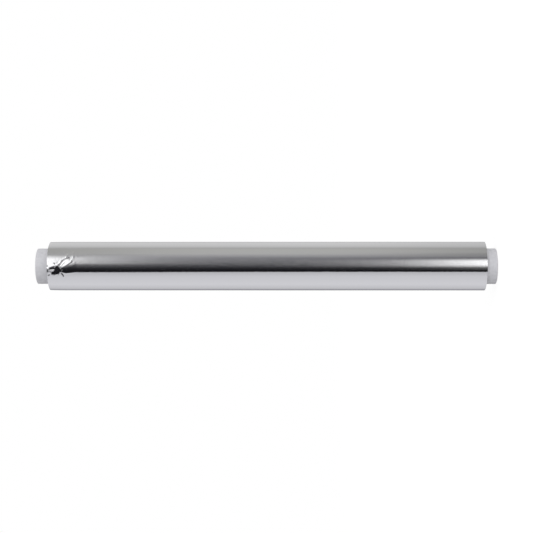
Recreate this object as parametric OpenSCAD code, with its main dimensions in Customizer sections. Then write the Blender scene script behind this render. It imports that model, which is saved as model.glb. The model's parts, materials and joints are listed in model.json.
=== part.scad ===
// A roll of household aluminium foil, wound on a plastic core tube that stands out at both ends.
// The roll stands on the lower end of its core, with +Z up its axis and -Y as its front.
// All sizes are in millimetres unless a comment says otherwise.

/* [Core tube] */
// Outside diameter of the core tube
core_d = 24.5; // [20:0.5:40]
// Wall of the core tube
core_wall = 1.75; // [1.2:0.05:3]
// Rounding on the rims of the core tube
rim_r = 0.4; // [0.2:0.05:0.55]
// How far the core stands out below the foil
stub_low = 7.7; // [4:0.1:20]
// How far the core stands out above the foil
stub_high = 8.8; // [4:0.1:20]

/* [Wound foil] */
// Width of the foil
foil_w = 300; // [200:5:450]
// Length of foil on the roll, in metres
foil_len_m = 30; // [15:1:75]
// Pitch from one turn to the next, in micrometres, with the air between the turns
turn_pitch_um = 13.9; // [11:0.1:20]
// Clearance between the core and the first turn
first_turn_gap = 0.05; // [0.02:0.01:0.1]

/* [Cut end of the foil] */
// Step where the cut end lies on the turn below
tail_step = 0.16; // [0.06:0.01:0.4]
// Place of the cut end, in degrees round from the front
tail_at = -125; // [-160:5:-95]

/* [Ends of the roll] */
// Number of bands of turns that have crept along the roll
band_count = 15; // [8:1:24]
// Most that a band has crept back from the foil's edge
band_creep = 0.45; // [0.1:0.05:0.8]

/* [Crumple] */
// Distance of the crumple's pocket from the foil's upper edge
pocket_down = 6.8; // [6:0.1:20]
// Place of the pocket, in degrees round from the front
pocket_at = -8; // [-40:0.5:40]
// Depth of the pocket
pocket_depth = 1.1; // [0.5:0.1:1.5]
// Depth of the creases round the pocket
crease_depth = 0.45; // [0.2:0.05:0.8]
// Half the width of a crease
crease_half_w = 0.55; // [0.3:0.05:0.9]
// Height of the raised folds between the creases
fold_height = 0.4; // [0.2:0.05:0.6]

/* [Hidden] */
$fn = 96;

core_r = core_d / 2;
core_len = stub_low + foil_w + stub_high;
bore_r = core_r + first_turn_gap;
// Metres times micrometres give the area of the wound section in square millimetres
foil_area = foil_len_m * turn_pitch_um;
foil_r = sqrt(bore_r * bore_r + foil_area / PI);
foil_low = stub_low;
foil_high = stub_low + foil_w;
pocket_z = foil_high - pocket_down;
band_w = (foil_r - bore_r) / band_count;

// How far cutting bodies stand out of the foil's skin, and folds are rooted below it
skin_clear = 0.35;
// Share of its width that a crease or fold keeps at its tips
tip_share = 0.25;
// Share of the pocket's rim that its waist spans, and shares of its depth at the waist's corners
waist_share = 0.62;
waist_depth_shares = [0.5, 0.75];
// Angles that scatter the creep of the bands at the upper and the lower end
upper_scatter = 20;
lower_scatter = 75;

// The crumple is drawn on the unrolled skin, from the pocket's middle.
// The first number runs down the roll and the second runs round it, towards +X.
// Each crease or fold lists the points along its line.
creases = [
    [[0.4, 1.8], [1.3, 2.9], [2.3, 4.2], [3.7, 5.8], [5.6, 7.4], [7.4, 8.2], [9.2, 8.6]],
    [[0.8, 2.2], [-0.5, 2.4], [-1.8, 2.1], [-3.1, 1.6], [-4.2, 1.1], [-5.4, 0.5]],
    [[-9.0, 0.2], [-7.6, -0.1], [-6.4, -0.4], [-5.2, -0.9], [-3.6, -1.5], [-2.4, -2.0]],
    [[2.4, -0.2], [3.2, -1.3], [3.7, -2.4], [4.1, -3.5], [4.8, -5.0]],
    [[1.2, -1.0], [2.2, -0.3], [3.4, 0.6], [4.4, 1.2], [5.6, 1.8]],
    [[-0.9, 3.3], [-1.5, 4.1], [-2.1, 5.0]],
    [[-4.5, -3.2], [-5.3, -4.0], [-6.1, -4.8]],
    [[8.2, 6.5], [9.0, 7.2], [9.8, 8.1]],
    [[10.6, 5.6], [11.4, 6.5], [12.1, 7.6]]
];
folds = [
    [[2.3, 2.8], [3.2, 3.8], [4.4, 4.9], [6.0, 6.0], [8.0, 6.9]],
    [[3.8, 2.7], [4.8, 3.5], [5.9, 4.3], [7.6, 5.3]],
    [[-0.1, 3.1], [1.2, 4.6], [2.8, 6.4], [4.8, 8.2]],
    [[-5.6, 0.1], [-4.2, -0.1], [-2.9, -0.5], [-1.8, -1.1]]
];
pocket_rim = [
    [-1.4, 2.5], [1.3, 2.5], [2.4, 0.7], [2.2, -1.0], [0.6, -3.0],
    [-1.4, -3.6], [-2.9, -3.3], [-3.6, -1.8], [-2.4, -1.1], [-1.5, 0.2]
];

// Point at a place on the unrolled skin, raised above the foil's outer radius
function on_skin(place, height) =
    let (turn = place[1] / foil_r * 180 / PI, reach = foil_r + height)
    [reach * sin(turn), -reach * cos(turn), -place[0]];

// Unit vector square to a line of points, at one of them
function square_to(line, i) =
    let (
        before = line[max(i - 1, 0)],
        after = line[min(i + 1, len(line) - 1)],
        way = after - before
    )
    [-way[1], way[0]] / norm(way);

// Share of the full section at a point of a line, which fades to nothing at both ends
function fade(line, i) = sin(180 * i / (len(line) - 1));

// How far a band of turns has crept back. The outermost band lies at the foil's edge.
function creep(i, scatter) =
    i == band_count - 1 ? 0 : band_creep * abs(sin(137 * i + scatter) * cos(61 * i + 2 * scatter));

// Radius where a band begins. The last one ends past the skin, where the last turn trims it.
function band_r(i) = bore_r + i * band_w + (i == band_count ? 1 : 0);

// A wedge of triangular section along a line on the skin. Its two edges lie at edge_height,
// on one side of the skin, and its ridge dips through the skin to ridge_height in the middle.
module wedge_along(line, edge_height, ridge_height) {
    last = len(line) - 1;
    tip_height = edge_height * tip_share;
    stations = [
        for (i = [0 : last])
        let (
            share = fade(line, i),
            side = square_to(line, i) * crease_half_w * (tip_share + (1 - tip_share) * share)
        )
        [
            on_skin(line[i] + side, edge_height),
            on_skin(line[i] - side, edge_height),
            on_skin(line[i], tip_height + (ridge_height - tip_height) * share)
        ]
    ];
    points = [for (station = stations) each station];
    walls = [
        for (i = [0 : last - 1], k = [0 : 2])
        let (
            a = 3 * i + k,
            b = 3 * i + (k + 1) % 3
        )
        each [[a, b, b + 3], [a, b + 3, a + 3]]
    ];
    tips = [[2, 1, 0], [3 * last, 3 * last + 1, 3 * last + 2]];
    faces = concat(walls, tips);
    turned_faces = [for (face = faces) [face[2], face[1], face[0]]];
    polyhedron(points, edge_height > ridge_height ? turned_faces : faces, convexity = 4);
}

// The hollow that was pushed into the foil, as the body that cuts it out
module pocket_cutter() {
    n = len(pocket_rim);
    rim = [for (place = pocket_rim) on_skin(place, skin_clear)];
    waist = [
        for (i = [0 : n - 1])
        on_skin(pocket_rim[i] * waist_share, -pocket_depth * waist_depth_shares[i % 2])
    ];
    bottom = on_skin([-0.3, -0.4], -pocket_depth);
    lid = on_skin([0, 0], 3 * skin_clear);
    points = concat(rim, waist, [bottom, lid]);
    faces = [
        for (i = [0 : n - 1])
        let (j = (i + 1) % n)
        each [[j, i, n + i], [j, n + i, n + j], [n + j, n + i, 2 * n], [i, j, 2 * n + 1]]
    ];
    polyhedron(points, faces, convexity = 4);
}

module at_pocket() {
    translate([0, 0, pocket_z]) rotate([0, 0, pocket_at]) children();
}

// The creases and the pocket, pushed into the skin
module crumple_hollows() {
    at_pocket() {
        pocket_cutter();
        for (line = creases) wedge_along(line, skin_clear, -crease_depth);
    }
}

// The folds that stand up between the creases
module crumple_folds() {
    at_pocket()
        for (line = folds) wedge_along(line, -skin_clear, fold_height);
}

// Outline of the last turn: two half circles whose centres are half a step apart,
// so that they meet flush on one side and leave the step on the other
module last_turn_outline() {
    reach = 2 * foil_r;
    intersection() {
        circle(r = foil_r);
        translate([-reach, 0]) square([2 * reach, reach]);
    }
    intersection() {
        translate([tail_step / 2, 0]) circle(r = foil_r - tail_step / 2);
        translate([-reach, -reach]) square([2 * reach, reach]);
    }
}

// The wound turns with their crept bands, as a profile turned round the axis
module wound_bands() {
    upper = [
        for (i = [0 : band_count - 1])
        let (z = foil_high - creep(i, upper_scatter))
        each [[band_r(i), z], [band_r(i + 1), z]]
    ];
    lower = [
        for (i = [band_count - 1 : -1 : 0])
        let (z = foil_low + creep(i, lower_scatter))
        each [[band_r(i + 1), z], [band_r(i), z]]
    ];
    rotate_extrude() polygon(concat(upper, lower));
}

// Section of the core's wall, with its rims rounded
module core_section() {
    inner_r = core_r - core_wall;
    for (x = [inner_r + rim_r, core_r - rim_r], z = [rim_r, core_len - rim_r])
        translate([x, z]) circle(r = rim_r);
    translate([inner_r, rim_r]) square([core_wall, core_len - 2 * rim_r]);
    translate([inner_r + rim_r, 0]) square([core_wall - 2 * rim_r, core_len]);
}

module core_tube() {
    color([0.88, 0.88, 0.9])
        rotate_extrude() core_section();
}

module foil_roll() {
    color([0.8, 0.81, 0.83])
        difference() {
            union() {
                intersection() {
                    wound_bands();
                    rotate([0, 0, 90 + tail_at])
                        translate([0, 0, foil_low - 1])
                        linear_extrude(foil_w + 2) last_turn_outline();
                }
                crumple_folds();
            }
            crumple_hollows();
        }
}

core_tube();
foil_roll();
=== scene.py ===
# %% [markdown]
# # A roll of aluminium foil on a plastic core
#
# A household foil roll is one of the plainest objects there is: a plastic tube with a few hundred
# turns of bright foil round it. It is also one of the hardest to light, because nearly all that the
# eye sees on it is a reflection. This lesson loads the measured model as a fixed frame, turns both
# pieces on a lathe made of bmesh operators, pushes a crumpled spot into the foil, and then builds
# the studio that the foil mirrors.
#
# The roll stands on the lower end of its core, with +Z up its axis. Its front faces -Y.

# %% Load the measured model
import json
import math

import bmesh
import bpy
from mathutils import Matrix, Vector, noise


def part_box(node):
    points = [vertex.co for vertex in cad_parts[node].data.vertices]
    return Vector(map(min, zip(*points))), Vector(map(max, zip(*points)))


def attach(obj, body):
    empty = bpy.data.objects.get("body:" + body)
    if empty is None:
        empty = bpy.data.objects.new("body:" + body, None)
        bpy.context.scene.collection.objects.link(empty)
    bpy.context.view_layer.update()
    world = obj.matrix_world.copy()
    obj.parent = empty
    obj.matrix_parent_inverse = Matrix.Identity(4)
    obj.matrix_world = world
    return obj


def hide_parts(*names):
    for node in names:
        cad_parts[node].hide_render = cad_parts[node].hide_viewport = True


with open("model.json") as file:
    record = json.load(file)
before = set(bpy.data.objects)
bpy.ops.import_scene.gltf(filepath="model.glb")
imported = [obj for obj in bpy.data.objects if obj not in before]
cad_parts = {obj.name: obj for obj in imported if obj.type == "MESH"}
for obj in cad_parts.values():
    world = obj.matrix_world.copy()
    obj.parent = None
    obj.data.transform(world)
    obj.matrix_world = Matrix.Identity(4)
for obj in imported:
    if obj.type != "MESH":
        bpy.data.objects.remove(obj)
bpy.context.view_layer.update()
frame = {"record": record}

MM = 0.001

# %% [markdown]
# ## Sizes
#
# Every size comes from the frame where the frame has it, so that the new pieces sit where the
# measured ones are. The foil's own box holds the raised folds of the crumpled spot, so its radius
# is read at the back, where nothing stands proud. The rims of the core are rounded, and the bore is
# stated between them, so its length gives their rounding.

# %% Sizes from the frame
core_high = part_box("core_tube")[1]
foil_low, foil_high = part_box("foil_roll")
CORE_R = core_high.x
CORE_LEN = core_high.z
FOIL_R = foil_high.y
FOIL_LOW = foil_low.z
FOIL_HIGH = foil_high.z
BORE_MOUNT = [m for m in frame["record"]["mounts"] if m["name"] == "core_bore"][0]
CORE_BORE_R = BORE_MOUNT["dims"]["r_mm"] * MM
RIM_R = (CORE_LEN - BORE_MOUNT["dims"]["length_mm"] * MM) / 2
FIRST_TURN_GAP = 0.05 * MM
print(f"foil {2 * FOIL_R / MM:.2f} mm across, {(FOIL_HIGH - FOIL_LOW) / MM:.1f} mm wide")
print(f"core {2 * CORE_R / MM:.2f} mm across, {CORE_LEN / MM:.1f} mm long, rim rounded {RIM_R / MM:.2f} mm")

# %% [markdown]
# ## A lathe
#
# Both pieces are round, so both are turned: the outline of half a section is drawn as a chain of
# points in the XZ plane, and the spin operator carries it round the Z axis. A full spin merges its
# first and last copy, so no seam is left. The normals are recalculated afterwards, because a spin
# can turn a shape inside out.

# %% The lathe
WELD_DISTANCE = 1e-4 * MM
FULL_TURN = 2 * math.pi


def lathe(section, steps):
    """A closed ring turned from a closed chain of (radius, height) points."""
    bm = bmesh.new()
    verts = [bm.verts.new((r, 0, z)) for r, z in section]
    edges = [bm.edges.new((verts[i - 1], verts[i])) for i in range(len(verts))]
    bmesh.ops.spin(bm, geom=verts + edges, cent=(0, 0, 0), axis=(0, 0, 1), angle=FULL_TURN,
                   steps=steps, use_merge=True)
    bmesh.ops.remove_doubles(bm, verts=bm.verts, dist=WELD_DISTANCE)
    bmesh.ops.recalc_face_normals(bm, faces=bm.faces)
    return bm


print(f"the lathe welds points closer than {WELD_DISTANCE / MM:.4f} mm")

# %% [markdown]
# ## From mesh to piece
#
# Round things look round when the shade runs smoothly over their faces, but a rim or a fold has to
# stay crisp. So every face is smooth, and an edge is marked sharp where its two faces meet at more
# than a given angle. The object itself stays at the origin, and its place is in its mesh.

# %% Finish a piece
def finish_piece(bm, name, materials, sharp_angle):
    """The finished mesh as an object at the origin, with its creases kept sharp."""
    mesh = bpy.data.meshes.new(name)
    for face in bm.faces:
        face.smooth = True
    for edge in bm.edges:
        edge.smooth = len(edge.link_faces) == 2 and edge.calc_face_angle(0) < sharp_angle
    bm.to_mesh(mesh)
    bm.free()
    for material in materials:
        mesh.materials.append(material)
    piece = bpy.data.objects.new(name, mesh)
    bpy.context.scene.collection.objects.link(piece)
    triangles = sum(len(p.vertices) - 2 for p in mesh.polygons)
    print(f"{name}: {len(mesh.vertices)} vertices, {triangles} triangles")
    return piece


print("pieces go into the", bpy.context.scene.collection.name)

# %% [markdown]
# ## Material helpers
#
# Colours are written as sRGB hex values, the way a colour picker gives them, and one function turns
# them into the linear values that the renderer adds up. A second one adds a node, sets it and links
# it, so each material below reads as a short list of what it is made of.

# %% Colour and node helpers
def linear(hex_colour):
    """sRGB hex such as "#C8C8CD" as linear RGBA."""
    parts = [int(hex_colour[i:i + 2], 16) / 255 for i in (1, 3, 5)]
    return [c / 12.92 if c <= 0.04045 else ((c + 0.055) / 1.055) ** 2.4 for c in parts] + [1.0]


def add_node(tree, kind, settings=None, inputs=None):
    """A node with its settings. An input is a value, a socket, or a node for its first output."""
    node = tree.nodes.new(kind)
    for key, value in (settings or {}).items():
        setattr(node, key, value)
    for key, value in (inputs or {}).items():
        if isinstance(value, bpy.types.Node):
            value = value.outputs[0]
        if isinstance(value, bpy.types.NodeSocket):
            tree.links.new(value, node.inputs[key])
        else:
            node.inputs[key].default_value = value
    return node


def new_material(name):
    material = bpy.data.materials.new(name)
    material.use_nodes = True
    material.node_tree.nodes.clear()
    return material, material.node_tree


print("a mid grey of #808080 is", round(linear("#808080")[0], 3), "in linear light")

# %% [markdown]
# ## The core's plastic
#
# Cores like this are extruded in polypropylene, a milky plastic with a soft gloss. Some light goes
# in and comes out again near by, so the shade runs softly round the tube. The die leaves very
# faint lines along the tube, and the plastic itself is a little cloudy. The lines are drawn about
# 0.7 mm apart, coarser than real ones, which would be too fine to show.

# %% Milky polypropylene
DIE_LINES_PER_M = 1 / (0.7 * MM)
DIE_LINE_STRETCH = 0.02
CLOUDS_PER_M = 1 / (2.5 * MM)


def polypropylene_material():
    # To the eye: a soft gloss over a milky depth, with faint clouds and lines along the tube
    material, tree = new_material("milky_extruded_polypropylene")
    place = add_node(tree, "ShaderNodeTexCoord").outputs["Object"]
    along = add_node(tree, "ShaderNodeMapping", {}, {"Vector": place, "Scale": (1, 1, DIE_LINE_STRETCH)})
    lines = add_node(tree, "ShaderNodeTexNoise", {}, {
        "Vector": along, "Scale": DIE_LINES_PER_M, "Detail": 2.0})
    clouds = add_node(tree, "ShaderNodeTexNoise", {}, {
        "Vector": place, "Scale": CLOUDS_PER_M, "Detail": 3.0})
    tint = add_node(tree, "ShaderNodeMix", {"data_type": "RGBA"}, {
        "Factor": clouds, "A": linear("#D6D6DB"), "B": linear("#F0F0F4")})
    bump = add_node(tree, "ShaderNodeBump", {}, {
        "Height": lines, "Strength": 0.12, "Distance": 0.05 * MM})
    shader = add_node(tree, "ShaderNodeBsdfPrincipled", {}, {
        "Base Color": tint.outputs["Result"], "Roughness": 0.42, "IOR": 1.49,
        "Subsurface Weight": 0.35, "Subsurface Radius": (1.0, 1.0, 1.0),
        "Subsurface Scale": 1.2 * MM, "Normal": bump})
    add_node(tree, "ShaderNodeOutputMaterial", {}, {"Surface": shader})
    return material


PLASTIC = polypropylene_material()
print("made", PLASTIC.name)

# %% [markdown]
# ## The core
#
# The tube is a plain extrusion cut to length, with the cutter's burr taken off the rims. Its
# section is a long slot with rounded corners, so four quarter arcs joined by straight lines say
# all there is to say.

# %% The core tube
CORE_STEPS = 160
RIM_STEPS = 6
SHARP_RIM = math.radians(50)


def core_section():
    # The centre of each corner's arc, and the direction in degrees where the arc starts
    corners = [(CORE_R - RIM_R, RIM_R, -90), (CORE_R - RIM_R, CORE_LEN - RIM_R, 0),
               (CORE_BORE_R + RIM_R, CORE_LEN - RIM_R, 90), (CORE_BORE_R + RIM_R, RIM_R, 180)]
    points = []
    for r, z, start in corners:
        for i in range(RIM_STEPS + 1):
            turn = math.radians(start + 90 * i / RIM_STEPS)
            points.append((r + RIM_R * math.cos(turn), z + RIM_R * math.sin(turn)))
    return points


core = finish_piece(lathe(core_section(), CORE_STEPS), "core_tube_milky", [PLASTIC], SHARP_RIM)
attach(core, "root")
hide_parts("core_tube")

# %% [markdown]
# ## The foil's bright face
#
# Foil comes off a rolling mill as bright as a mirror, but not an even mirror: the mill's rolls leave
# fine grooves along the strip, which on the wound roll run round and round. Light is smeared
# across such grooves and stays sharp along them. That is what the anisotropic setting gives, with a
# tangent that runs round the axis and a quarter turn, so that the smear lies along the roll.
#
# The real grooves are some micrometres apart, far too fine to show. A soft noise about 1 mm long,
# a little longer round the roll than along it, stands for them and makes reflected edges waver.

# %% Rolled foil
GROOVES_PER_M = 1 / (1.0 * MM)
GROOVE_STRETCH = 0.6
QUARTER_TURN = 0.25


def foil_face_material():
    # To the eye: a bright mirror whose reflections are drawn out along the roll
    material, tree = new_material("bright_rolled_aluminium_foil")
    place = add_node(tree, "ShaderNodeTexCoord").outputs["Object"]
    round_about = add_node(tree, "ShaderNodeMapping", {}, {
        "Vector": place, "Scale": (GROOVE_STRETCH, GROOVE_STRETCH, 1)})
    grooves = add_node(tree, "ShaderNodeTexNoise", {}, {
        "Vector": round_about, "Scale": GROOVES_PER_M, "Detail": 2.5})
    bump = add_node(tree, "ShaderNodeBump", {}, {
        "Height": grooves, "Strength": 1.0, "Distance": 0.02 * MM})
    tangent = add_node(tree, "ShaderNodeTangent", {"direction_type": "RADIAL", "axis": "Z"})
    shader = add_node(tree, "ShaderNodeBsdfPrincipled", {}, {
        "Base Color": linear("#F5F5F6"), "Metallic": 1.0, "Roughness": 0.12,
        "Anisotropic": 1.0, "Anisotropic Rotation": QUARTER_TURN,
        "Normal": bump, "Tangent": tangent})
    add_node(tree, "ShaderNodeOutputMaterial", {}, {"Surface": shader})
    return material


FOIL_FACE = foil_face_material()
print("made", FOIL_FACE.name)

# %% [markdown]
# ## The foil's slit edges
#
# The ends of the roll show hundreds of cut edges instead. They are satin, greyer, and ringed like
# the wood of a tree. The rings follow the distance from the axis, so a noise in one dimension
# draws them. A real turn is 0.014 mm thick, too fine to show, so the rings are drawn 0.5 mm apart
# and finer.

# %% Slit edges
EDGE_RINGS_PER_M = 1 / (0.5 * MM)


def foil_edges_material():
    # To the eye: satin metal with light and dark rings
    material, tree = new_material("slit_edges_of_aluminium_foil")
    place = add_node(tree, "ShaderNodeTexCoord").outputs["Object"]
    flat = add_node(tree, "ShaderNodeVectorMath", {"operation": "MULTIPLY"}, {0: place, 1: (1, 1, 0)})
    radius = add_node(tree, "ShaderNodeVectorMath", {"operation": "LENGTH"}, {0: flat})
    rings = add_node(tree, "ShaderNodeTexNoise", {"noise_dimensions": "1D"}, {
        "W": radius.outputs["Value"], "Scale": EDGE_RINGS_PER_M, "Detail": 5.0, "Roughness": 0.7})
    tint = add_node(tree, "ShaderNodeMix", {"data_type": "RGBA"}, {
        "Factor": rings, "A": linear("#A9AAAC"), "B": linear("#FFFFFF")})
    bump = add_node(tree, "ShaderNodeBump", {}, {
        "Height": rings, "Strength": 0.6, "Distance": 0.06 * MM})
    shader = add_node(tree, "ShaderNodeBsdfPrincipled", {}, {
        "Base Color": tint.outputs["Result"], "Metallic": 1.0, "Roughness": 0.38, "Normal": bump})
    add_node(tree, "ShaderNodeOutputMaterial", {}, {"Surface": shader})
    return material


FOIL_EDGES = foil_edges_material()
print("made", FOIL_EDGES.name)

# %% [markdown]
# ## The ends of the wound foil
#
# However well a roll is wound, bands of turns creep a little along it. At both ends the section
# therefore steps in and out. Two waves of unlike length scatter the steps, by the same rule as on
# the measured model, and a smaller ripple gives each band a second ring.

# %% Bands of turns at the ends
BAND_COUNT = 15
BAND_CREEP = 0.45 * MM
CREEP_TURNS = (137, 61)
UPPER_SCATTER = 20
LOWER_SCATTER = 75
TURN_LINES = 2
TURN_CREEP = 0.05 * MM
TURN_RIPPLE = 2.7
STEP_GAP = 0.001 * MM
FOIL_BORE_R = CORE_R + FIRST_TURN_GAP
BAND_W = (FOIL_R - FOIL_BORE_R) / BAND_COUNT


def band_creep(band, scatter):
    """How far a band lies back from the foil's edge. The outermost band lies at the edge."""
    if band == BAND_COUNT - 1:
        return 0.0
    first = math.sin(math.radians(CREEP_TURNS[0] * band + scatter))
    second = math.cos(math.radians(CREEP_TURNS[1] * band + 2 * scatter))
    return BAND_CREEP * abs(first * second)


def end_points(scatter):
    """(radius, distance back from the edge) from the bore out to the skin."""
    points = []
    for band in range(BAND_COUNT):
        inner = FOIL_BORE_R + band * BAND_W
        back = band_creep(band, scatter)
        points.append((inner + STEP_GAP, back))
        for line in range(1, TURN_LINES):
            ripple = TURN_CREEP * abs(math.sin(TURN_RIPPLE * (band * TURN_LINES + line) + scatter))
            points.append((inner + BAND_W * line / TURN_LINES, back + ripple))
        points.append((inner + BAND_W - STEP_GAP, back))
    return points


print(f"{BAND_COUNT} bands of {BAND_W / MM:.2f} mm at each end")

# %% [markdown]
# ## The wound foil
#
# The roll is turned as well. Its section has many points on the skin where the crumpled spot
# will be, and few elsewhere, because the spot's folds are moved point by point later.

# %% The roll's section
FOIL_STEPS = 320
CRUMPLE_REACH = 21 * MM
PLAIN_STEP = 7 * MM
FINE_STEP = 0.33 * MM


def spread(start, end, count):
    """Evenly spaced values from start up to, but not including, end."""
    return [start + (end - start) * i / count for i in range(count)]


def foil_section():
    plain_top = FOIL_HIGH - CRUMPLE_REACH
    plain_count = round((plain_top - FOIL_LOW) / PLAIN_STEP)
    fine_count = round(CRUMPLE_REACH / FINE_STEP)
    skin = [(FOIL_R, z) for z in spread(FOIL_LOW, plain_top, plain_count)]
    skin += [(FOIL_R, z) for z in spread(plain_top, FOIL_HIGH, fine_count)]
    upper = [(r, FOIL_HIGH - back) for r, back in reversed(end_points(UPPER_SCATTER))]
    lower = [(r, FOIL_LOW + back) for r, back in end_points(LOWER_SCATTER)]
    return skin + upper + lower


foil_bm = lathe(foil_section(), FOIL_STEPS)
print("turned the foil:", len(foil_bm.verts), "points")

# %% [markdown]
# ## The crumpled spot
#
# Near one end somebody's thumb has caught the roll. The outer turns are pushed into a small
# pocket, and sharp folds run out from it: a long curved one away from the end, a claw and a nick
# towards the end, and a few short ones. Foil doesn't stretch, so it folds like paper: flat facets
# that meet in sharp lines. Each fold is therefore a ridge along a given line, with a skirt on
# either side that is as wide as the facet it stands for, and each crease is the same turned down.
#
# The lines are drawn on the unrolled skin in millimetres from the pocket's middle. The first
# number runs down the roll, the second round it towards +X. The lines are drawn downwards, which
# puts their left side towards +X. The few that run round the roll have their left side up it or,
# where they run towards -X, down it.

# %% Lines of the crumpled spot
# Each fold: its line, its height, its skirts to the left and right, and the skirts' hollowness
FOLDS = [
    # Broad bright facets between the roll's end and the pocket
    ([(-13.0, -1.6), (-9.5, -0.4), (-6.8, 0.35), (-5.5, 0.75), (-4.9, 1.6), (-3.1, 2.3), (-1.4, 2.7),
      (0.3, 2.9), (1.4, 3.1)], 0.26, 3.4, 0.15, 2),
    ([(-1.4, 2.7), (0.2, 2.9), (1.2, 3.2), (1.9, 4.0), (2.7, 5.1), (3.3, 5.9)], 0.12, 1.2, 0.12, 1),
    ([(-8.6, -0.4), (-6.8, 0.3), (-5.6, 0.7), (-4.8, 1.3)], 0.15, 1.5, 0.15, 1),
    # The claw between the roll's end and the pocket
    ([(-6.2, 0.2), (-5.4, -0.1), (-4.4, -0.5), (-3.2, -0.6), (-2.2, -0.4), (-1.3, 0.1)],
     0.22, 0.55, 1.6, 1),
    ([(-6.3, -1.3), (-5.4, -1.8), (-4.6, -2.0), (-3.9, -2.1)], 0.16, 0.15, 0.9, 1),
    # The long curved crease: its hollow side, and the two stretches of its dark line
    ([(1.2, 2.5), (2.4, 3.9), (3.5, 5.6), (5.3, 7.2), (7.4, 8.1), (9.2, 8.4)], -0.09, 0.05, 3.2, 1.6),
    ([(-0.4, 0.6), (1.2, 2.2), (2.5, 3.6), (3.9, 5.2), (5.8, 6.7)], -0.12, 0.35, 0.3, 1),
    ([(2.6, 4.2), (3.3, 5.2), (4.2, 6.1), (5.9, 7.2), (8.0, 7.8), (9.8, 7.9)], -0.30, 0.5, 0.3, 1),
    # The bright fold beside it, on a broad low swell and with one fine line
    ([(0.0, 0.1), (1.1, 0.4), (2.2, 0.8), (3.6, 1.6), (5.2, 2.4), (7.2, 3.4), (9.2, 4.5), (10.8, 5.5)],
     0.19, 2.7, 0.2, 1.5),
    ([(4.6, 0.2), (6.4, 0.9), (8.6, 1.9), (11.0, 3.0), (13.4, 3.9)], 0.07, 2.4, 4.0, 1),
    ([(3.3, 2.0), (4.6, 3.6), (6.0, 4.9), (7.3, 5.8)], -0.05, 0.35, 0.35, 1),
    # A fine crease, a notch and a nick by the roll's end, and a nick on the pocket's +X side
    ([(-6.5, -0.5), (-5.2, -1.0), (-3.2, -1.3)], -0.08, 0.3, 0.3, 1),
    ([(-7.1, 0.8), (-6.8, -0.2), (-6.7, -1.2), (-7.0, -2.0)], -0.10, 0.5, 0.5, 1),
    ([(-6.2, -4.1), (-5.1, -3.2)], -0.32, 0.75, 0.75, 1),
    ([(-2.1, 4.7), (-0.9, 3.6)], -0.16, 0.45, 0.45, 1),
    # The crease that leaves the pocket towards -X, and a fine line beside it
    ([(3.3, -1.2), (3.8, -2.2), (4.1, -2.9), (4.4, -3.8), (4.8, -5.0)], -0.48, 0.15, 1.05, 1),
    ([(3.1, -1.2), (3.8, -0.2), (4.8, 0.5)], 0.04, 0.25, 0.25, 1),
    # Small marks past the far end of the long crease
    ([(10.8, 6.2), (10.9, 7.2), (11.3, 8.4), (11.5, 9.6), (11.4, 10.6)], 0.10, 1.0, 0.25, 1),
    ([(8.7, 5.6), (8.8, 6.8), (8.9, 8.0), (8.9, 9.2)], -0.07, 0.35, 0.35, 1),
    ([(6.2, 8.0), (6.9, 9.2), (7.5, 10.9), (7.8, 12.2)], 0.12, 0.8, 0.4, 1),
    ([(12.2, 9.4), (12.6, 10.8), (12.7, 12.1)], 0.05, 0.5, 0.5, 1),
    # A low fold that runs down the roll on the pocket's -X side
    ([(3.2, -1.9), (6.5, -2.7), (12.1, -2.1)], 0.10, 1.7, 0.8, 1),
]
print(len(FOLDS), "folds and creases")

# %% [markdown]
# A fold is highest along its line and falls to nothing at the edge of its skirts: straight with a
# hollowness of 1, which gives a flat facet, and in a hollow curve above that. It also fades out at
# both tips, but late, so that it keeps its body over most of its length.

# %% Height of a fold
TIP_FULLNESS = 0.5


def nearest_on_line(point, line):
    """Distance from a point to a line, negative on its right side, and how far along, 0 to 1."""
    best, side, best_along = math.inf, 1.0, 0.0
    last = len(line) - 1
    for i in range(last):
        start = Vector(line[i])
        way = Vector(line[i + 1]) - start
        offset = point - start
        share = max(0.0, min(1.0, offset.dot(way) / way.length_squared))
        distance = (offset - way * share).length
        if distance < best:
            best, best_along = distance, (i + share) / last
            side = 1.0 if way.x * offset.y - way.y * offset.x >= 0 else -1.0
    return best * side, best_along


def fold_height(point, fold):
    """Height that one fold or crease adds at a point. It fades out at both tips."""
    line, height, left_skirt, right_skirt, hollowness = fold
    reach = max(left_skirt, right_skirt)
    if not min(p[0] for p in line) - reach < point.x < max(p[0] for p in line) + reach:
        return 0.0
    if not min(p[1] for p in line) - reach < point.y < max(p[1] for p in line) + reach:
        return 0.0
    distance, along = nearest_on_line(point, line)
    skirt = left_skirt if distance > 0 else right_skirt
    tip = math.sin(math.pi * along) ** TIP_FULLNESS
    return height * tip * max(0.0, 1 - abs(distance) / skirt) ** hollowness


heights = [fold[1] for fold in FOLDS]
print("highest fold", max(heights), "mm, deepest crease", -min(heights), "mm")

# %% [markdown]
# The pocket's floor is flat, as a dent in something springy and layered tends to be, so it shows one
# dark patch of the room in place of the bands on the round skin. It falls off steeply at its rim,
# and two very low folds keep it from being a perfect plane.

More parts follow.
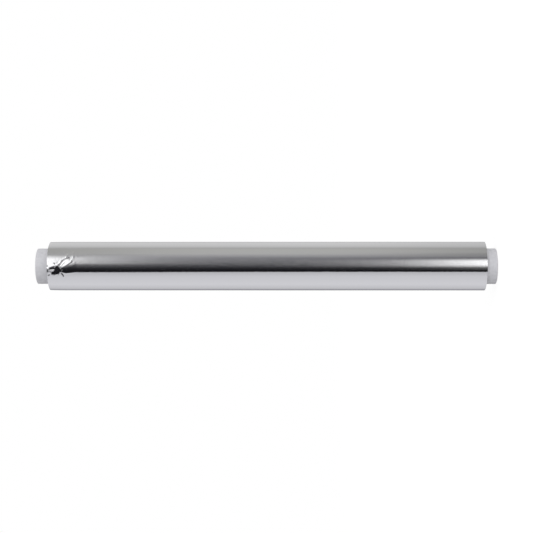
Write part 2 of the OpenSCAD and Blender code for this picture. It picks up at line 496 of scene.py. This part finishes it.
# %% The pocket
# Millimetres again, and the pocket's middle is counted from the foil's upper edge
POCKET_DOWN = 6.8
POCKET_AT = math.radians(-8)
POCKET_FACE_AT = math.radians(-9)
POCKET_DEPTH = 0.85
POCKET_WALL = 0.1
POCKET_RIM = [(-4.2, -1.8), (-2.4, -1.1), (-1.8, -0.4), (-1.7, 1.5), (-0.6, 2.7), (0.9, 2.9), (1.7, 1.5),
              (3.1, -0.2), (3.7, -2.1), (2.2, -2.1), (0.9, -3.6), (-1.5, -4.1), (-3.5, -3.7)]
FLOOR_FOLDS = [
    ([(-2.2, -2.4), (-0.6, -0.6), (0.9, 1.2)], 0.04, 0.7, 0.7, 1),
    ([(-0.4, -3.0), (0.6, -1.2), (1.6, 0.0)], 0.04, 0.6, 0.6, 1),
]


def inside_pocket(point):
    """Distance in from the pocket's rim, or 0 outside it."""
    count = len(POCKET_RIM)
    nearest = math.inf
    crossings = 0
    for i in range(count):
        a, b = Vector(POCKET_RIM[i]), Vector(POCKET_RIM[(i + 1) % count])
        way = b - a
        share = max(0.0, min(1.0, (point - a).dot(way) / way.length_squared))
        nearest = min(nearest, (point - a - way * share).length)
        if (a.y > point.y) != (b.y > point.y):
            if point.x < a.x + (point.y - a.y) / (b.y - a.y) * (b.x - a.x):
                crossings += 1
    return nearest if crossings % 2 else 0.0


def pocket_floor(point):
    """Height of the flat floor, with its folds, over the round skin."""
    turn = point.y / (FOIL_R / MM) + POCKET_AT - POCKET_FACE_AT
    flat = (FOIL_R / MM - POCKET_DEPTH) / math.cos(turn) - FOIL_R / MM
    return flat + sum(fold_height(point, fold) for fold in FLOOR_FOLDS)


print(f"pocket with {len(POCKET_RIM)} corners, {POCKET_DEPTH} mm deep")

# %% [markdown]
# Round the folds the foil is finely rippled, which a little noise gives in two patches. The folds,
# the ripples and the pocket together are the crumple.

# %% The whole crumple
# Each patch of ripples: middle, half size and height
RIPPLES = [((9, 12), (5, 4), 0.10), ((0, -6.5), (5, 3), 0.06)]
RIPPLE_LENGTHS = (0.9, 2.5)
RIPPLE_PLANE = 0.5


def crumple_height(down, round_about):
    """Height of the crumpled skin over the plain one, in millimetres."""
    point = Vector((down, round_about))
    height = sum(fold_height(point, fold) for fold in FOLDS + FLOOR_FOLDS)
    place = Vector((down / RIPPLE_LENGTHS[0], round_about / RIPPLE_LENGTHS[1], RIPPLE_PLANE))
    for middle, half_size, ripple in RIPPLES:
        bell = math.exp(-sum(((a - m) / h) ** 2 for a, m, h in zip(point, middle, half_size)))
        height += ripple * bell * noise.noise(place)
    share = min(1.0, inside_pocket(point) / POCKET_WALL)
    return height * (1 - share) + pocket_floor(point) * share


print(f"the skin lies {-crumple_height(0, 0):.2f} mm deep at the pocket's middle")

# %% [markdown]
# ## The skin's slight waves
#
# The rest of the skin isn't a perfect cylinder either: the strip was wound over its own slight
# waves. They are far too shallow to feel, but a mirror shows them, as the wander of every edge
# reflected in it. Past the crumple the skin swells a little, and at the roll's end it droops.

# %% Waves, swell and droop
# Heights and places on the unrolled skin are in millimetres, and the waves' lengths in metres
WAVE_HEIGHT = 0.02
WAVE_ROUND = 20 * MM
WAVE_LONG = 60 * MM
EDGE_DROOP = 0.16
EDGE_REACH = 12.0
SWELL_HEIGHT = 0.10
SWELL_MIDDLE = (10, 8)
SWELL_RISE = 4.5
SWELL_FADE = 15
SWELL_ROUND = 4.5
# Zones of the unrolled skin: lowest and highest number down it, then the same round it
CRUMPLE_ZONE = (-9.0, 14.0, -9.0, 16.0)
POCKET_ZONE = (-9.0, 7.0, -5.5, 7.5)


def unrolled(co):
    """A point's place on the unrolled skin, from the pocket's middle, in millimetres."""
    turn = math.atan2(co.x, -co.y)
    return (FOIL_HIGH - co.z) / MM - POCKET_DOWN, (turn - POCKET_AT) * FOIL_R / MM


def in_zone(zone, down, round_about):
    return zone[0] < down < zone[1] and zone[2] < round_about < zone[3]


def swell_height(down, round_about):
    """A shallow swell past the crumple. It rises within a few millimetres and dies out slowly."""
    past_middle = down - SWELL_MIDDLE[0]
    length = SWELL_RISE if past_middle < 0 else SWELL_FADE
    return SWELL_HEIGHT * math.exp(-(past_middle / length) ** 2
                                   - ((round_about - SWELL_MIDDLE[1]) / SWELL_ROUND) ** 2)


def skin_height(co):
    """Height of the skin over a perfect cylinder, in millimetres."""
    down, round_about = unrolled(co)
    wave = noise.noise(Vector((co.x / WAVE_ROUND, co.y / WAVE_ROUND, co.z / WAVE_LONG)))
    height = WAVE_HEIGHT * (wave - 1)
    height -= EDGE_DROOP * max(0.0, 1 - (down + POCKET_DOWN) / EDGE_REACH) ** 2
    height += swell_height(down, round_about)
    if in_zone(CRUMPLE_ZONE, down, round_about):
        height += crumple_height(down, round_about)
    return height


print("the skin's waves are", WAVE_HEIGHT, "mm high")

# %% [markdown]
# ## The cut end of the foil
#
# The last turn ends at the back, where the strip was cut. The skin steps down there by a few
# turns' thickness, and the outline of the roll is two half circles that meet flush on the other
# side. The turning is rotated so that one column of points lies on the cut, and the column next to
# it is drawn up close, which makes the step a narrow face.

# %% The last turn
TAIL_STEP = 0.16 * MM
TAIL_AT = math.radians(145)
LIP_SHARE = 0.08
COLUMN_ANGLE = FULL_TURN / FOIL_STEPS


def outline_radius(past):
    """Radius of the last turn, at an angle past its cut end. The end itself has the full radius."""
    if past == 0.0 or past >= math.pi:
        return FOIL_R
    half = TAIL_STEP / 2
    return math.sqrt((FOIL_R - half) ** 2 - (half * math.sin(past)) ** 2) - half * math.cos(past)


def past_cut_end(co):
    """Angle from the cut end to a point, with the first column past it drawn up to the cut."""
    past = (math.atan2(co.y, co.x) - TAIL_AT) % FULL_TURN
    column = round(past / COLUMN_ANGLE) % FOIL_STEPS
    if column == 0:
        return 0.0
    return LIP_SHARE * COLUMN_ANGLE if column == 1 else past


bmesh.ops.rotate(foil_bm, cent=(0, 0, 0), matrix=Matrix.Rotation(TAIL_AT, 3, "Z"), verts=foil_bm.verts)
print(f"the cut end lies {math.degrees(TAIL_AT):.0f} degrees round from +X")

# %% [markdown]
# ## Shape the skin
#
# Sharp folds need small faces, so the faces of the crumple are halved first, and those of the
# pocket once more. Then every point of the skin moves in or out. The points just under the skin,
# on the roll's two ends, follow in part, so that the ends stay whole.

# %% Move the points of the skin
SKIN_TOLERANCE = 0.005 * MM
ROOTS = 1.3 * MM


def refine(bm, zone):
    """Halves the skin's faces within a zone of the unrolled skin."""
    edges = []
    for edge in bm.edges:
        if min(math.hypot(v.co.x, v.co.y) for v in edge.verts) < FOIL_R - SKIN_TOLERANCE:
            continue
        if all(in_zone(zone, *unrolled(v.co)) for v in edge.verts):
            edges.append(edge)
    bmesh.ops.subdivide_edges(bm, edges=edges, cuts=1, use_grid_fill=True)


def shape_skin(bm):
    for vert in bm.verts:
        radius = math.hypot(vert.co.x, vert.co.y)
        if radius < FOIL_R - ROOTS:
            continue
        share = min(1.0, 1 - (FOIL_R - radius - SKIN_TOLERANCE) / ROOTS)
        past = past_cut_end(vert.co)
        sink = FOIL_R - outline_radius(past)
        radius += (skin_height(vert.co) * MM - sink) * share
        vert.co.x = radius * math.cos(TAIL_AT + past)
        vert.co.y = radius * math.sin(TAIL_AT + past)


refine(foil_bm, CRUMPLE_ZONE)
refine(foil_bm, POCKET_ZONE)
shape_skin(foil_bm)
print("shaped the skin:", len(foil_bm.verts), "points")

# %% [markdown]
# ## The finished roll of foil
#
# One mesh carries both of the foil's surfaces. The faces that look up or down near either end are
# the slit edges, and take the second material. All others, the walls of the crumple among them,
# keep the bright face.

# %% The finished foil
END_DEPTH = 2 * BAND_CREEP
END_SLANT = 0.5
SHARP_FOLD = math.radians(60)


def mark_ends(bm):
    """The faces at both ends take the second material, the slit edges."""
    for face in bm.faces:
        z = face.calc_center_median().z
        if abs(face.normal.z) > END_SLANT and min(z - FOIL_LOW, FOIL_HIGH - z) < END_DEPTH:
            if all(math.hypot(v.co.x, v.co.y) < FOIL_R for v in face.verts):
                face.material_index = 1


foil_bm.normal_update()
mark_ends(foil_bm)
foil = finish_piece(foil_bm, "foil_roll_bright", [FOIL_FACE, FOIL_EDGES], SHARP_FOLD)
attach(foil, "root")
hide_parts("foil_roll")

# %% [markdown]
# ## The camera
#
# The photograph was taken almost square from the side with the roll lying level. Here the roll stands,
# so the camera lies on its side instead: its right points down the roll and its up points to +X.
# Its distance shows in the roundness of the two ends, and its focal length follows from the
# roll's length in the picture. Its sizes are in metres.

# %% The camera
PHOTO_PX = 533
FOCAL_PX = 1340.3
CAMERA_AWAY = 0.928
CAMERA_YAW = math.radians(1.0)
AIM_Z = 0.158045
AIM_X = -0.0002
SENSOR_MM = 36
NEAREST_SEEN = 50 * MM


def make_camera():
    data = bpy.data.cameras.new("camera")
    data.sensor_width = SENSOR_MM
    data.lens = FOCAL_PX * SENSOR_MM / PHOTO_PX
    data.clip_start = NEAREST_SEEN
    camera = bpy.data.objects.new("camera", data)
    forward = Vector((0, math.cos(CAMERA_YAW), math.sin(CAMERA_YAW)))
    up = Vector((1, 0, 0))
    right = forward.cross(up)
    place = Vector((AIM_X, 0, AIM_Z)) - CAMERA_AWAY * forward
    camera.matrix_world = Matrix.Translation(place) @ Matrix((right, up, -forward)).transposed().to_4x4()
    bpy.context.scene.collection.objects.link(camera)
    bpy.context.scene.camera = camera
    print(f"camera {CAMERA_AWAY / MM:.0f} mm away, lens {data.lens:.2f} mm")


make_camera()

# %% [markdown]
# ## Light that only mirrors see
#
# Bright metal has next to no colour of its own, so the studio is half of the picture. All of it
# stands round the roll like a drum, and every glow in it is laid out by the same few measures: the
# angle round the roll, counted in degrees from the camera's side towards +X, how far the spot lies
# beside the roll's middle along its axis, and plain X and Y. A patch of light or shade is a product
# of smooth steps over these. Its piece is left to glossy rays, so it lights and hides nothing.

# %% Measures and steps for the studio
def studio_measures(tree):
    parts = add_node(tree, "ShaderNodeSeparateXYZ", {}, {
        0: add_node(tree, "ShaderNodeTexCoord").outputs["Object"]})
    towards_camera = add_node(tree, "ShaderNodeMath", {"operation": "MULTIPLY"}, {
        0: parts.outputs["Y"], 1: -1.0})
    turn = add_node(tree, "ShaderNodeMath", {"operation": "ARCTAN2"}, {
        0: parts.outputs["X"], 1: towards_camera})
    beside = add_node(tree, "ShaderNodeMath", {"operation": "SUBTRACT"}, {
        0: parts.outputs["Z"], 1: AIM_Z})
    return {
        "x": parts.outputs["X"],
        "y": parts.outputs["Y"],
        "angle": add_node(tree, "ShaderNodeMath", {"operation": "DEGREES"}, {0: turn}),
        "beside": beside,
        "either side": add_node(tree, "ShaderNodeMath", {"operation": "ABSOLUTE"}, {0: beside}),
    }


def product_of_steps(tree, measures, steps):
    """Each step names its measure, where it starts and ends, and its value at start and end."""
    product = 1.0
    for measure, start, end, at_start, at_end in steps:
        step = add_node(tree, "ShaderNodeMapRange", {"interpolation_type": "SMOOTHSTEP"}, {
            "Value": measures[measure], "From Min": start, "From Max": end,
            "To Min": at_start, "To Max": at_end})
        product = add_node(tree, "ShaderNodeMath", {"operation": "MULTIPLY"}, {0: product, 1: step})
    return product


def glow_only_in_mirrors(obj):
    """Leaves a stage piece to glossy rays, so that it lights and hides nothing."""
    obj.visible_camera = False
    obj.visible_diffuse = False
    obj.visible_transmission = False
    obj.visible_volume_scatter = False
    obj.visible_shadow = False


print(f"the studio is laid out round a point {AIM_Z / MM:.1f} mm up the roll")

# %% [markdown]
# ## The room
#
# Going round the drum from the camera, the foil mirrors the dark of the room behind the
# photographer, a wall that brightens upwards, a ceiling, the back of the paper sweep, and the white
# table, whose front edge meets the dark in one sharp line. The stops are plain greys. Four patches
# are dimmer than the rest, and past the roll's upper end the table's edge stands a little askew.

# %% The drum that the foil mirrors
DRUM_R = 1.6
DRUM_LOW = -6.0
DRUM_HIGH = 6.0
DRUM_STEPS = 96
DRUM_STOPS = [
    (-180, "#6A6A6C"), (-160, "#74747A"), (-146, "#A8A8AC"), (-130, "#C4C4C8"), (-95, "#D4D4D8"),
    (-50, "#CDCDD1"), (-27.4, "#B9B9BD"), (-26.6, "#101012"), (-18, "#17171A"), (-9, "#29292C"),
    (0, "#3E3E42"), (10, "#48484B"), (22, "#5A5A5D"), (37, "#757579"), (48, "#979799"),
    (60, "#B0B0AF"), (85, "#B1B1AE"), (95, "#A9A9A8"), (103, "#BEBEBE"), (118, "#CACACA"),
    (156, "#D2D2D2"), (166, "#74747A"), (180, "#6A6A6C"),
]
# Degrees by which the room is turned past the upper end, on the table's side
ROOM_ASKEW = [("beside", 0.05, 0.42, 0.0, 3.1513), ("x", -0.2, 0.0, 1.0, 0.0)]
# Shares of the light that are missing
DIM_PATCHES = [
    # The wall and ceiling, at either side of where the light reaches
    [("either side", 0.18, 0.45, 0.0, 0.2), ("x", 0.3, 0.9, 0.0, 1.0), ("y", -0.2, 0.3, 1.0, 0.0)],
    # The room's far ends, on the camera's side
    [("either side", 0.9, 1.5, 0.0, 0.85), ("y", -0.9, -0.3, 1.0, 0.0)],
    # The wall and ceiling past the roll's lower end
    [("beside", -0.42, -0.1, 0.13, 0.0), ("x", 0.3, 0.9, 0.0, 1.0)],
    # A band high on the wall there
    [("beside", -0.40, -0.1, 0.18, 0.0),
     ("angle", 48.13, 55.0, 0.0, 1.0), ("angle", 61.88, 69.9, 1.0, 0.0)],
]


def drum_material():
    """Greys by the angle round the drum, with the room's turn and its dim patches."""
    material, tree = new_material("studio_drum_cloth")
    measures = studio_measures(tree)
    turned = add_node(tree, "ShaderNodeMath", {"operation": "ADD"}, {
        0: measures["angle"], 1: product_of_steps(tree, measures, ROOM_ASKEW)})
    share = add_node(tree, "ShaderNodeMath", {"operation": "MULTIPLY_ADD"}, {
        0: turned, 1: 1 / 360, 2: 0.5})
    ramp = add_node(tree, "ShaderNodeValToRGB", {}, {"Fac": share})
    stops = ramp.color_ramp.elements
    while len(stops) < len(DRUM_STOPS):
        stops.new(0.5)
    for stop, (degrees, grey) in zip(stops, DRUM_STOPS):
        stop.position = degrees / 360 + 0.5
        stop.color = linear(grey)
    strength = 1.0
    for steps in DIM_PATCHES:
        kept = add_node(tree, "ShaderNodeMath", {"operation": "SUBTRACT"}, {
            0: 1.0, 1: product_of_steps(tree, measures, steps)})
        strength = add_node(tree, "ShaderNodeMath", {"operation": "MULTIPLY"}, {0: strength, 1: kept})
    glow = add_node(tree, "ShaderNodeEmission", {}, {"Color": ramp, "Strength": strength})
    add_node(tree, "ShaderNodeOutputMaterial", {}, {"Surface": glow})
    # This glow lights no matt surface, so it isn't sampled as a lamp
    material.cycles.emission_sampling = "NONE"
    return material


def make_drum():
    bm = bmesh.new()
    verts = [bm.verts.new((DRUM_R, 0, z)) for z in (DRUM_LOW, DRUM_HIGH)]
    edge = bm.edges.new(verts)
    bmesh.ops.spin(bm, geom=verts + [edge], cent=(0, 0, 0), axis=(0, 0, 1), angle=FULL_TURN,
                   steps=DRUM_STEPS, use_merge=True)
    drum = finish_piece(bm, "studio_drum", [drum_material()], math.pi)
    glow_only_in_mirrors(drum)


make_drum()

# %% [markdown]
# ## Soft boxes
#
# Three soft boxes are what flares up at both ends of the roll. One stands past the upper end, one
# past the lower end, and a third one high above the first. Each is a flat glowing panel with soft
# long edges, and two faint panels add the light that spills below the first two. A mirror sees the
# room through a panel, because its glow is only added. They don't stand quite alike, and the inner
# edges of most of them lean.

# %% Soft boxes beside the camera
BOX_AWAY = 1.35
BOX_OUTER = 1.0


def panel_material(name, low, high, low_soft, high_soft, strength):
    """A glow between two angles, faded over the given degrees to each side of them."""
    material, tree = new_material(name)
    measures = studio_measures(tree)
    cover = product_of_steps(tree, measures, [
        ("angle", low - low_soft, low + low_soft, 0.0, 1.0),
        ("angle", high - high_soft, high + high_soft, 1.0, 0.0)])
    power = add_node(tree, "ShaderNodeMath", {"operation": "MULTIPLY"}, {0: cover, 1: strength})
    glow = add_node(tree, "ShaderNodeEmission", {}, {"Color": linear("#FFFFFF"), "Strength": power})
    open_air = add_node(tree, "ShaderNodeBsdfTransparent")
    both = add_node(tree, "ShaderNodeAddShader", {}, {0: glow, 1: open_air})
    add_node(tree, "ShaderNodeOutputMaterial", {}, {"Surface": both})
    # This glow lights no matt surface, so it isn't sampled as a lamp
    material.cycles.emission_sampling = "NONE"
    return material


def make_panel(name, side, low, high, low_soft, high_soft, inner_low, inner_high, strength):
    """A glowing panel beside the camera, on the upper end's side for 1 and the lower end's for -1.
    It spans the angles low to high, and its inner edge leans from inner_low to inner_high."""
    middle = math.radians((low - low_soft + high + high_soft) / 2)
    half = BOX_AWAY * math.tan(math.radians((high + high_soft - low + low_soft) / 2))
    out = Vector((math.sin(middle), -math.cos(middle), 0))
    up = Vector((math.cos(middle), math.sin(middle), 0))
    bm = bmesh.new()
    bmesh.ops.create_grid(bm, x_segments=1, y_segments=1, size=1)
    for vert in bm.verts:
        inner_edge = inner_high if vert.co.y > 0 else inner_low
        beside = side * (BOX_OUTER if vert.co.x > 0 else inner_edge)
        vert.co = out * BOX_AWAY + up * half * vert.co.y + Vector((0, 0, AIM_Z + beside))
    material = panel_material(name + "_cloth", low, high, low_soft, high_soft, strength)
    piece = finish_piece(bm, name, [material], math.pi)
    glow_only_in_mirrors(piece)


make_panel("soft_box_upper", 1, low=9, high=43.5, low_soft=7, high_soft=15,
           inner_low=0.40, inner_high=0.319, strength=1.32)
make_panel("soft_box_lower", -1, low=-0.5, high=30, low_soft=9, high_soft=9.5,
           inner_low=0.300, inner_high=0.290, strength=1.5)
make_panel("soft_box_high", 1, low=46, high=66, low_soft=5, high_soft=6,
           inner_low=0.68, inner_high=0.68, strength=1.1)
make_panel("box_spill_upper", 1, low=-2, high=9, low_soft=9, high_soft=7,
           inner_low=0.33, inner_high=0.31, strength=0.12)
make_panel("box_spill_lower", -1, low=-18, high=-1, low_soft=5, high_soft=3,
           inner_low=0.394, inner_high=0.281, strength=0.15)

# %% [markdown]
# ## The floor
#
# The floor is white to the camera. It still takes a little light as a matt surface does, so the
# roll's shadow shows on it. Other rays meet a plain pale floor, and mirrors see past it to the
# drum, as if the roll stood on a glass shelf.

# %% The floor
FLOOR_R = 3.0
FLOOR_EDGES = 64
FLOOR_GLOW = 0.84


def seen_directly(tree):
    """1 for the rays that show a background, straight, in a mirror or through glass, and else 0."""
    path = add_node(tree, "ShaderNodeLightPath")
    seen = add_node(tree, "ShaderNodeMath", {"operation": "MAXIMUM"}, {
        0: path.outputs["Is Camera Ray"], 1: path.outputs["Is Glossy Ray"]})
    return add_node(tree, "ShaderNodeMath", {"operation": "MAXIMUM"}, {
        0: seen, 1: path.outputs["Is Transmission Ray"]})


def floor_material():
    # To the eye: white paper, a little darker where the roll's shadow falls
    material, tree = new_material("pale_studio_floor")
    plain = add_node(tree, "ShaderNodeBsdfDiffuse", {}, {"Color": linear("#EEEEEE")})
    faint = add_node(tree, "ShaderNodeBsdfDiffuse", {}, {"Color": linear("#9A9A9A")})
    white = add_node(tree, "ShaderNodeEmission", {}, {
        "Color": linear("#FFFFFF"), "Strength": FLOOR_GLOW})
    shown = add_node(tree, "ShaderNodeAddShader", {}, {0: white, 1: faint})
    mix = add_node(tree, "ShaderNodeMixShader", {}, {0: seen_directly(tree), 1: plain, 2: shown})
    add_node(tree, "ShaderNodeOutputMaterial", {}, {"Surface": mix})
    # This glow lights no matt surface, so it isn't sampled as a lamp
    material.cycles.emission_sampling = "NONE"
    return material


def make_floor():
    bm = bmesh.new()
    bmesh.ops.create_circle(bm, cap_ends=True, segments=FLOOR_EDGES, radius=FLOOR_R)
    floor = finish_piece(bm, "floor", [floor_material()], math.pi)
    floor.visible_glossy = False


make_floor()

# %% [markdown]
# ## World and lamps
#
# The world is white where it is seen, and lights everything evenly at half that strength. One
# large lamp from the +X side models the tube's roundness, and a small weak one by the roll's foot
# lifts the lower stub of the core. Mirrors don't see either lamp.

# %% World and lamps
WORLD_LIGHT = 0.5
WORLD_WHITE = 1.0


def make_world():
    world = bpy.data.worlds.new("studio")
    bpy.context.scene.world = world
    world.use_nodes = True
    tree = world.node_tree
    tree.nodes.clear()
    light = add_node(tree, "ShaderNodeBackground", {}, {
        "Color": linear("#FFFFFF"), "Strength": WORLD_LIGHT})
    white = add_node(tree, "ShaderNodeBackground", {}, {
        "Color": linear("#FFFFFF"), "Strength": WORLD_WHITE})
    mix = add_node(tree, "ShaderNodeMixShader", {}, {0: seen_directly(tree), 1: light, 2: white})
    add_node(tree, "ShaderNodeOutputWorld", {}, {"Surface": mix})


def make_lamp(name, place, size, power):
    """A square lamp, size metres wide, that points at the middle of the roll."""
    data = bpy.data.lights.new(name, "AREA")
    data.shape = "SQUARE"
    data.size = size
    data.energy = power
    lamp = bpy.data.objects.new(name, data)
    aim = Vector((0, 0, AIM_Z)) - Vector(place)
    lamp.rotation_euler = aim.to_track_quat("-Z", "Y").to_euler()
    lamp.location = place
    lamp.visible_glossy = False
    lamp.visible_camera = False
    bpy.context.scene.collection.objects.link(lamp)


make_world()
make_lamp("large_lamp", place=(0.8, -1.2, 0.25), size=1.2, power=9)
make_lamp("foot_lamp", place=(0.02, -0.24, 0.015), size=0.08, power=0.1)
bpy.context.scene.view_settings.view_transform = "Standard"
print("studio is up")
